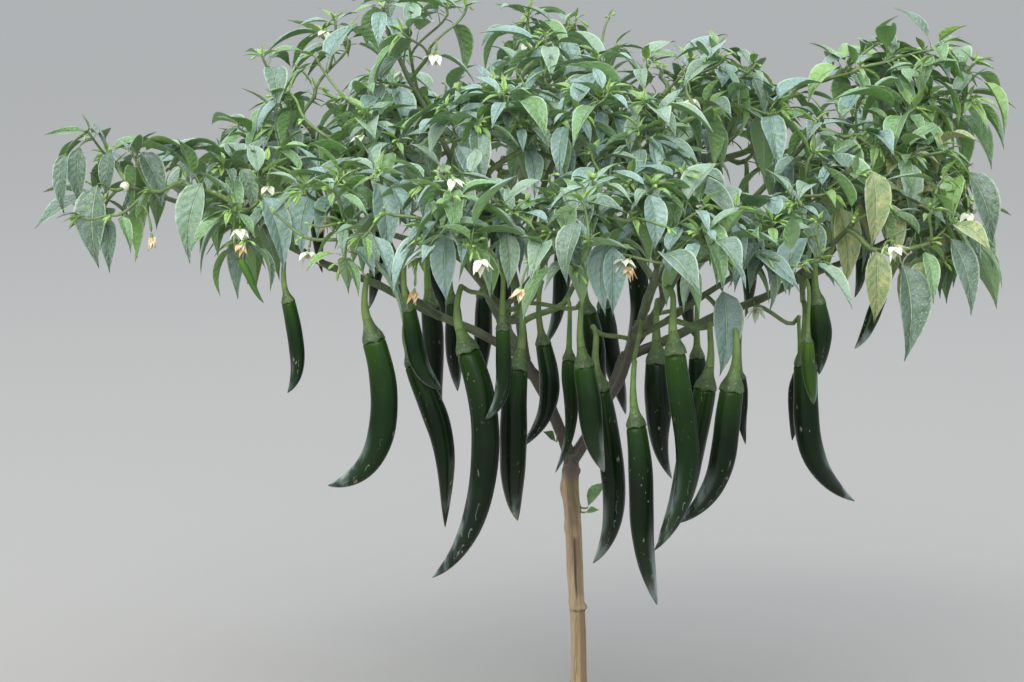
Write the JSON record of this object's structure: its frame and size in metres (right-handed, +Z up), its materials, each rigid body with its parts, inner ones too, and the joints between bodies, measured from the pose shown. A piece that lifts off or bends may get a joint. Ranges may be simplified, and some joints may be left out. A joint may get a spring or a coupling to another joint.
{
  "type": "chilli pepper plant",
  "caption": "Bushy chilli pepper plant with a short woody stem, forking boughs and an umbrella of leaves over hanging pods.",
  "frame": {"origin": "on the ground, in the middle of the flat cut under the stem", "axes": "+Z up along the stem, +X to the right and +Y away from the viewer in the reference view"},
  "size_m": [0.5945, 0.465, 0.4502],
  "materials": {
    "stem_bark": "matte",
    "limb_bark": "satin",
    "foliage": "matte",
    "pod": "gloss",
    "blossom": "matte"
  },
  "bodies": {
    "root": {"bough_back_inner_left": "limb_bark", "bough_back_inner_right": "limb_bark", "bough_back_left": "limb_bark", "bough_back_middle": "limb_bark", "bough_back_right": "limb_bark", "bough_far_left": "limb_bark", "bough_far_right": "limb_bark", "bough_front_left": "limb_bark", "bough_front_middle": "limb_bark", "bough_front_right": "limb_bark", "bough_left": "limb_bark", "bough_left_front": "limb_bark", "bough_left_inner": "limb_bark", "bough_middle_left": "limb_bark", "bough_middle_right": "limb_bark", "bough_right": "limb_bark", "bough_right_front": "limb_bark", "bough_right_inner": "limb_bark", "bough_top_back": "limb_bark", "bough_top_left": "limb_bark", "bough_top_middle": "limb_bark", "bough_top_right": "limb_bark", "bough_upper_left": "limb_bark", "bough_upper_right": "limb_bark", "foliage_back_inner_left": "foliage", "foliage_back_inner_right": "foliage", "foliage_back_left": "foliage", "foliage_back_middle": "foliage", "foliage_back_right": "foliage", "foliage_far_left": "foliage", "foliage_far_right": "foliage", "foliage_front_left": "foliage", "foliage_front_middle": "foliage", "foliage_front_right": "foliage", "foliage_left": "foliage", "foliage_left_front": "foliage", "foliage_left_inner": "foliage", "foliage_middle_left": "foliage", "foliage_middle_right": "foliage", "foliage_right": "foliage", "foliage_right_front": "foliage", "foliage_right_inner": "foliage", "foliage_top_back": "foliage", "foliage_top_left": "foliage", "foliage_top_middle": "foliage", "foliage_top_right": "foliage", "foliage_upper_left": "foliage", "foliage_upper_right": "foliage", "leader_left": "limb_bark", "leader_right": "limb_bark", "limb_back_left": "limb_bark", "limb_back_right": "limb_bark", "limb_front_left": "limb_bark", "limb_front_right": "limb_bark", "limb_high_left": "limb_bark", "limb_high_right": "limb_bark", "stem": "stem_bark"}
  },
  "joints": []
}
